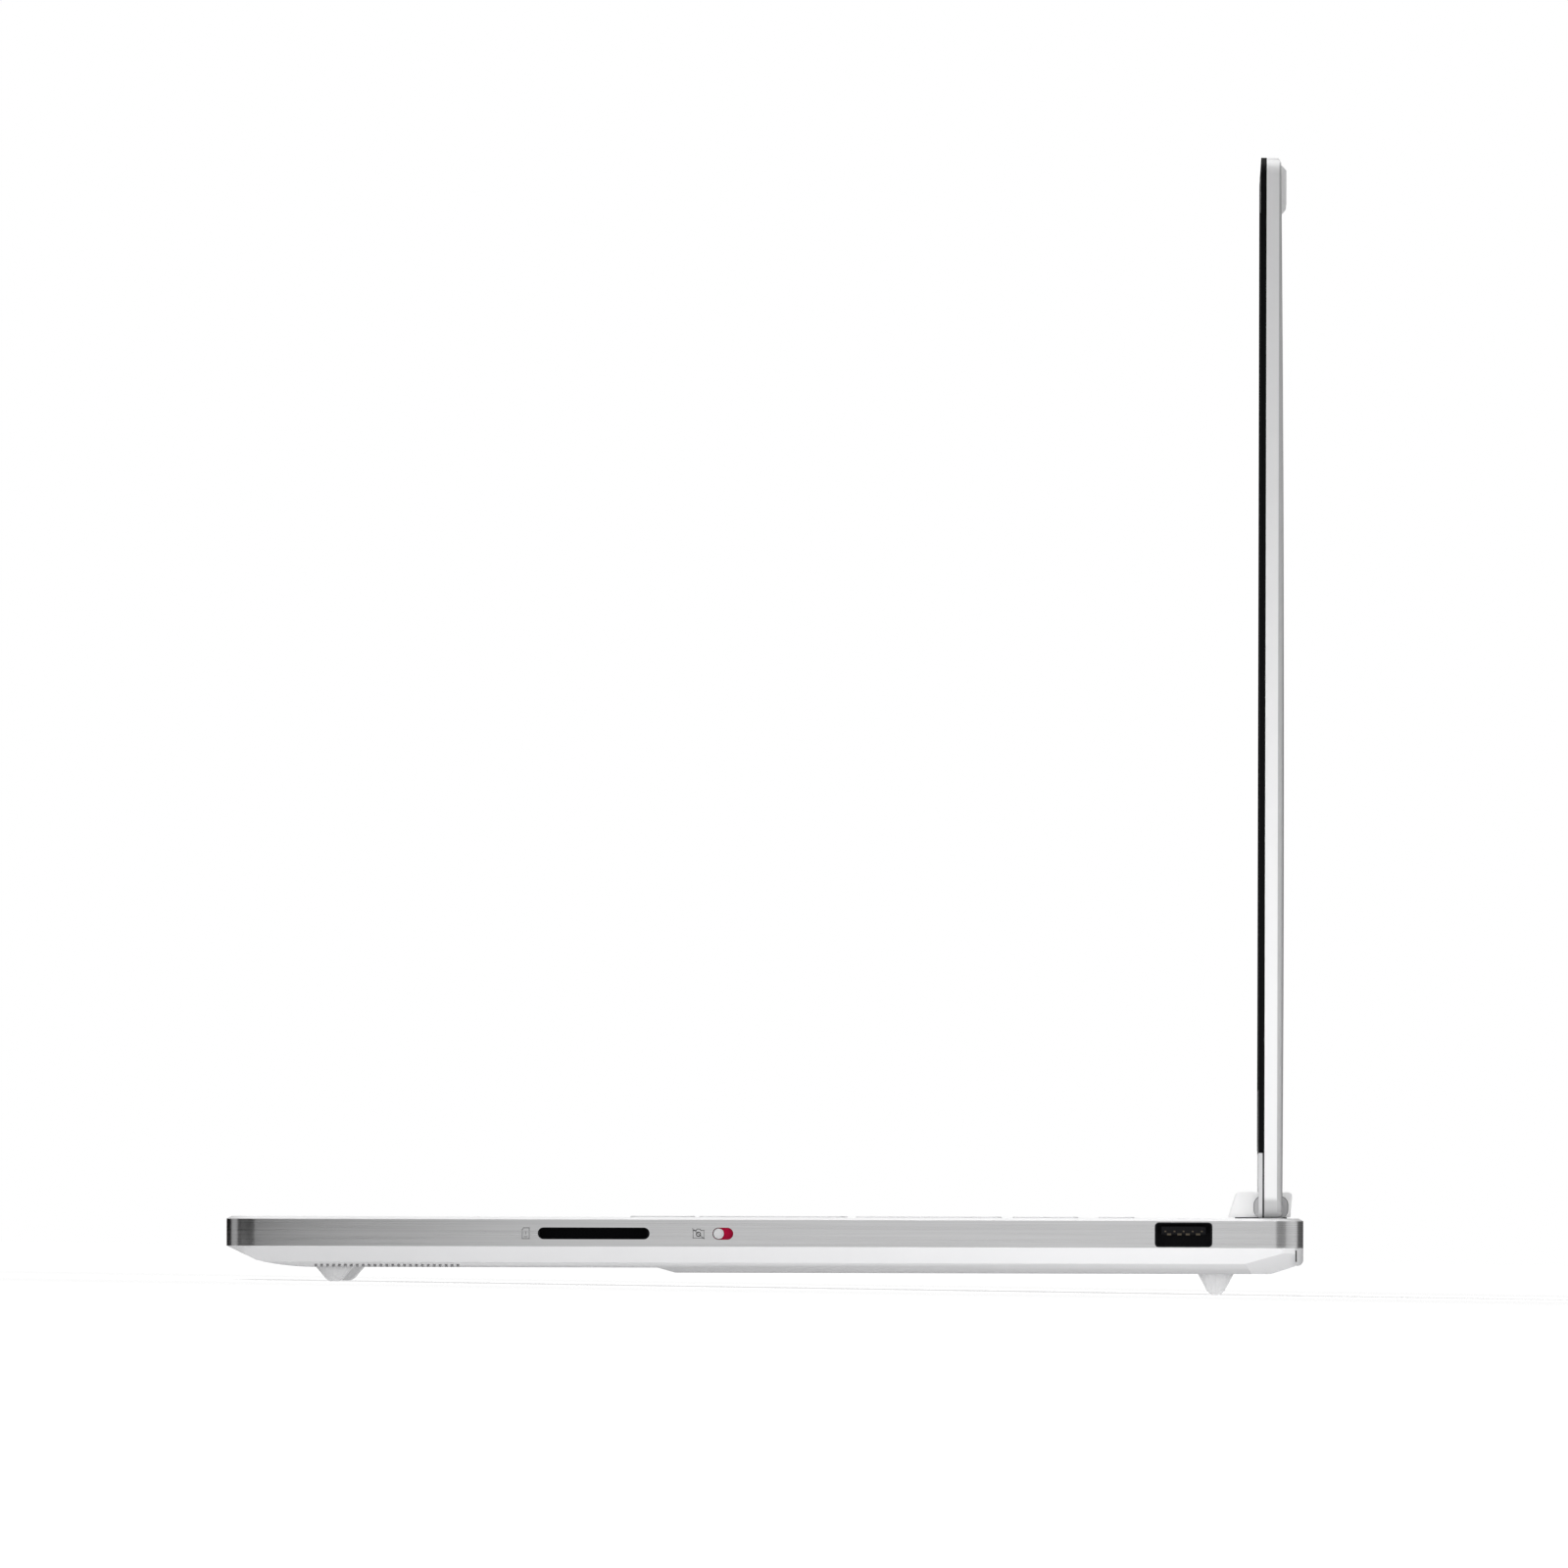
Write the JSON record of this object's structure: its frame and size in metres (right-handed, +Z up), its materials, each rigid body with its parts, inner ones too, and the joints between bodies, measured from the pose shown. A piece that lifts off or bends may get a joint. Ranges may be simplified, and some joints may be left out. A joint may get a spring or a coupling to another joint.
{
  "type": "laptop computer",
  "caption": "Sixteen-inch notebook with a white case, metal side band, raised hinge towers and separate keys; lid stands open square to the deck.",
  "frame": {"origin": "on the desk, under the middle of the whole object's box", "axes": "+X to the user's right, +Y from the user towards the hinges, +Z up from the desk"},
  "size_m": [0.362, 0.2601, 0.2749],
  "materials": {
    "brushed_band": "lengthwise brushed, clear anodised",
    "white_case": "white satin coat on pressed metal",
    "white_cover": "white moulded, fine satin",
    "foot_rubber": "pale grey soft rubber",
    "screw_steel": "plated steel",
    "black_plastic": "black moulded",
    "circuit_board": "coated circuit board",
    "copper_pipe": "bare copper",
    "fin_metal": "stamped fins",
    "plate_steel": "stamped steel",
    "port_metal": "dark plated shell",
    "knuckle_grey": "satin metal",
    "touchpad_surface": "fine matt glass-like film",
    "crimson_slide": "crimson moulded",
    "bezel_black": "black moulded, satin",
    "screen_glass": "dark display stack, anti-glare",
    "seal_rubber": "black soft rubber",
    "chin_grey": "pale moulded",
    "cable_black": "black sleeve",
    "key_white": "white satin key cap"
  },
  "bodies": {
    "base": {"side_frame": "brushed_band", "top_case": "white_case", "bottom_cover": "white_cover", "front_feet": "foot_rubber", "rear_foot": "foot_rubber", "rear_grille": "white_cover", "cover_screws": "screw_steel", "battery": "black_plastic", "mainboard": "circuit_board", "heat_pipes": "copper_pipe", "fin_stacks": "fin_metal", "fan_housings": "black_plastic", "solid_state_drive": "circuit_board", "memory_modules": "circuit_board", "wireless_card": "circuit_board", "speakers": "black_plastic", "keyboard_plate": "plate_steel", "usb_a_ports": "port_metal", "card_reader": "black_plastic", "hdmi_port": "port_metal", "usb_c_ports": "port_metal", "audio_jack": "black_plastic", "power_inlet": "port_metal", "hinge_towers": "white_cover", "hinge_brackets": "plate_steel", "knuckle_caps": "knuckle_grey", "touchpad_bracket": "plate_steel", "shutter_housing": "black_plastic", "base_cable": "cable_black"},
    "lid": {"lid_shell": "white_case", "display_bezel": "bezel_black", "display_panel": "screen_glass", "bezel_gasket": "seal_rubber", "chin_strip": "chin_grey", "webcam_module": "black_plastic", "hinge_arms": "plate_steel", "lid_cable": "cable_black"},
    "fan_left": {"fan_wheel_left": "black_plastic"},
    "fan_right": {"fan_wheel_right": "black_plastic"},
    "touchpad": {"touchpad": "touchpad_surface"},
    "power_button": {"power_button": "white_cover"},
    "shutter": {"shutter_slider": "crimson_slide"},
    "function_keys": {"function_keys": "key_white"},
    "number_row_keys": {"number_row_keys": "key_white"},
    "q_row_keys": {"q_row_keys": "key_white"},
    "a_row_keys": {"a_row_keys": "key_white"},
    "z_row_keys": {"z_row_keys": "key_white"},
    "modifier_keys": {"modifier_keys": "key_white"},
    "arrow_keys": {"arrow_keys": "key_white"},
    "number_pad_keys": {"number_pad_keys": "key_white"},
    "space_bar": {"space_bar": "key_white"},
    "enter_key": {"enter_key": "key_white"},
    "backspace_key": {"backspace_key": "key_white"},
    "tab_key": {"tab_key": "key_white"},
    "caps_lock_key": {"caps_lock_key": "key_white"},
    "left_shift_key": {"left_shift_key": "key_white"},
    "right_shift_key": {"right_shift_key": "key_white"},
    "escape_key": {"escape_key": "key_white"},
    "pad_enter_key": {"pad_enter_key": "key_white"},
    "pad_plus_key": {"pad_plus_key": "key_white"}
  },
  "joints": [
    {"name": "lid_hinge", "type": "hinge", "parent": "base", "child": "lid", "pos_m": [0, 0.12244, 0.02236], "axis": [-1, 0, 0], "range_deg": [-90, 90]},
    {"name": "fan_left_spin", "type": "hinge", "parent": "base", "child": "fan_left", "pos_m": [-0.118, 0.0621, 0.00991], "axis": [0, -0.0131, 0.9999], "continuous": true},
    {"name": "fan_right_spin", "type": "hinge", "parent": "base", "child": "fan_right", "pos_m": [0.118, 0.0621, 0.00991], "axis": [0, -0.0131, 0.9999], "continuous": true},
    {"name": "touchpad_click", "type": "hinge", "parent": "base", "child": "touchpad", "pos_m": [0, -0.03948, 0.01498], "axis": [1, 0, 0], "range_deg": [0, 0.35], "stiffness_Nm_per_rad": 16},
    {"name": "power_press", "type": "slide", "parent": "base", "child": "power_button", "axis": [0, 0.0131, -0.9999], "range_m": [0, 0.0006], "stiffness_N_per_m": 800},
    {"name": "shutter_slide", "type": "slide", "parent": "base", "child": "shutter", "axis": [0, 0.9999, 0.0131], "range_m": [0, 0.0022]},
    {"name": "function_keys_press", "type": "slide", "parent": "base", "child": "function_keys", "axis": [0, 0.0131, -0.9999], "range_m": [0, 0.0015], "stiffness_N_per_m": 400},
    {"name": "number_row_keys_press", "type": "slide", "parent": "base", "child": "number_row_keys", "axis": [0, 0.0131, -0.9999], "range_m": [0, 0.0015], "stiffness_N_per_m": 400},
    {"name": "q_row_keys_press", "type": "slide", "parent": "base", "child": "q_row_keys", "axis": [0, 0.0131, -0.9999], "range_m": [0, 0.0015], "stiffness_N_per_m": 400},
    {"name": "a_row_keys_press", "type": "slide", "parent": "base", "child": "a_row_keys", "axis": [0, 0.0131, -0.9999], "range_m": [0, 0.0015], "stiffness_N_per_m": 400},
    {"name": "z_row_keys_press", "type": "slide", "parent": "base", "child": "z_row_keys", "axis": [0, 0.0131, -0.9999], "range_m": [0, 0.0015], "stiffness_N_per_m": 400},
    {"name": "modifier_keys_press", "type": "slide", "parent": "base", "child": "modifier_keys", "axis": [0, 0.0131, -0.9999], "range_m": [0, 0.0015], "stiffness_N_per_m": 400},
    {"name": "arrow_keys_press", "type": "slide", "parent": "base", "child": "arrow_keys", "axis": [0, 0.0131, -0.9999], "range_m": [0, 0.0015], "stiffness_N_per_m": 400},
    {"name": "number_pad_keys_press", "type": "slide", "parent": "base", "child": "number_pad_keys", "axis": [0, 0.0131, -0.9999], "range_m": [0, 0.0015], "stiffness_N_per_m": 400},
    {"name": "space_bar_press", "type": "slide", "parent": "base", "child": "space_bar", "axis": [0, 0.0131, -0.9999], "range_m": [0, 0.0015], "stiffness_N_per_m": 400},
    {"name": "enter_key_press", "type": "slide", "parent": "base", "child": "enter_key", "axis": [0, 0.0131, -0.9999], "range_m": [0, 0.0015], "stiffness_N_per_m": 400},
    {"name": "backspace_key_press", "type": "slide", "parent": "base", "child": "backspace_key", "axis": [0, 0.0131, -0.9999], "range_m": [0, 0.0015], "stiffness_N_per_m": 400},
    {"name": "tab_key_press", "type": "slide", "parent": "base", "child": "tab_key", "axis": [0, 0.0131, -0.9999], "range_m": [0, 0.0015], "stiffness_N_per_m": 400},
    {"name": "caps_lock_key_press", "type": "slide", "parent": "base", "child": "caps_lock_key", "axis": [0, 0.0131, -0.9999], "range_m": [0, 0.0015], "stiffness_N_per_m": 400},
    {"name": "left_shift_key_press", "type": "slide", "parent": "base", "child": "left_shift_key", "axis": [0, 0.0131, -0.9999], "range_m": [0, 0.0015], "stiffness_N_per_m": 400},
    {"name": "right_shift_key_press", "type": "slide", "parent": "base", "child": "right_shift_key", "axis": [0, 0.0131, -0.9999], "range_m": [0, 0.0015], "stiffness_N_per_m": 400},
    {"name": "escape_key_press", "type": "slide", "parent": "base", "child": "escape_key", "axis": [0, 0.0131, -0.9999], "range_m": [0, 0.0015], "stiffness_N_per_m": 400},
    {"name": "pad_enter_key_press", "type": "slide", "parent": "base", "child": "pad_enter_key", "axis": [0, 0.0131, -0.9999], "range_m": [0, 0.0015], "stiffness_N_per_m": 400},
    {"name": "pad_plus_key_press", "type": "slide", "parent": "base", "child": "pad_plus_key", "axis": [0, 0.0131, -0.9999], "range_m": [0, 0.0015], "stiffness_N_per_m": 400}
  ]
}
